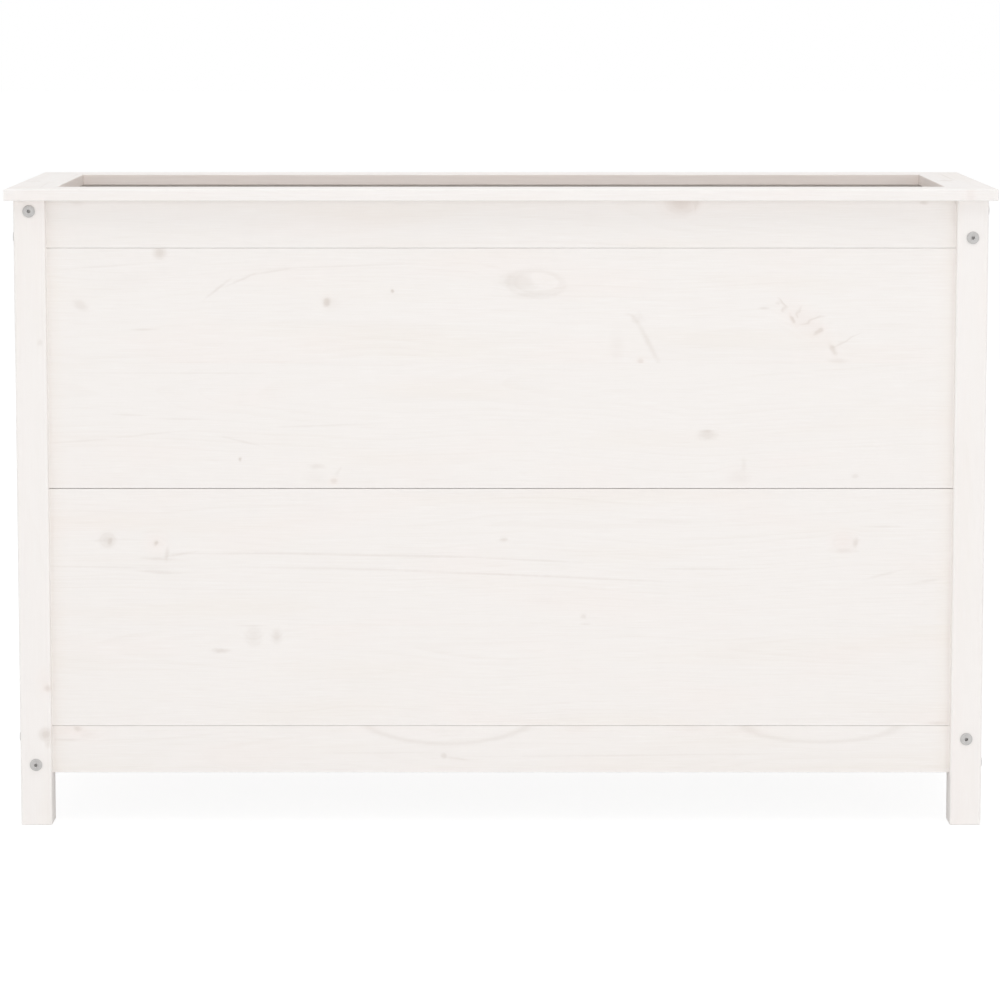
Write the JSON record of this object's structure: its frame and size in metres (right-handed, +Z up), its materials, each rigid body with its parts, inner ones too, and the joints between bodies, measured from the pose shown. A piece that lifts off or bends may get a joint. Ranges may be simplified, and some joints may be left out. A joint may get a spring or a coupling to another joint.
{
  "type": "raised garden bed",
  "caption": "Tall narrow raised planting bed: painted board sides between four square legs, with a flat mitred cap and a slatted floor, to hold soil for plants.",
  "frame": {"origin": "centre of the footprint, on the ground", "axes": "+X along the bed's length, +Y from front to back, +Z up"},
  "size_m": [1.195, 0.4, 0.78],
  "materials": {
    "painted_boards": "matte white paint on knotty softwood, grain and knots showing through",
    "painted_legs": "matte white paint on softwood, grain along the leg",
    "painted_cap": "matte white paint on softwood, grain along each board",
    "painted_floor": "thin matte white paint on rough softwood",
    "zinc_plate": "dull bright zinc plating",
    "screw_steel": "zinc plated, slightly dull",
    "dowel_wood": "bare beech"
  },
  "bodies": {
    "root": {"back_bottom_rail": "painted_boards", "back_lower_board": "painted_boards", "back_top_rail": "painted_boards", "back_upper_board": "painted_boards", "barrel_nuts": "zinc_plate", "board_end_dowels": "dowel_wood", "cap_back": "painted_cap", "cap_dowels": "dowel_wood", "cap_front": "painted_cap", "cap_left": "painted_cap", "cap_right": "painted_cap", "cleat_back": "painted_floor", "cleat_front": "painted_floor", "cleat_screws": "screw_steel", "connector_bolts": "zinc_plate", "front_bottom_rail": "painted_boards", "front_lower_board": "painted_boards", "front_top_rail": "painted_boards", "front_upper_board": "painted_boards", "left_bottom_rail": "painted_boards", "left_lower_board": "painted_boards", "left_top_rail": "painted_boards", "left_upper_board": "painted_boards", "leg_back_left": "painted_legs", "leg_back_right": "painted_legs", "leg_front_left": "painted_legs", "leg_front_right": "painted_legs", "right_bottom_rail": "painted_boards", "right_lower_board": "painted_boards", "right_top_rail": "painted_boards", "right_upper_board": "painted_boards", "slat_01": "painted_floor", "slat_02": "painted_floor", "slat_03": "painted_floor", "slat_04": "painted_floor", "slat_05": "painted_floor", "slat_06": "painted_floor", "slat_07": "painted_floor", "slat_08": "painted_floor", "slat_09": "painted_floor", "slat_10": "painted_floor", "slat_11": "painted_floor", "slat_12": "painted_floor", "slat_13": "painted_floor", "slat_14": "painted_floor", "slat_15": "painted_floor", "slat_16": "painted_floor", "slat_17": "painted_floor", "slat_screws": "screw_steel"}
  },
  "joints": []
}
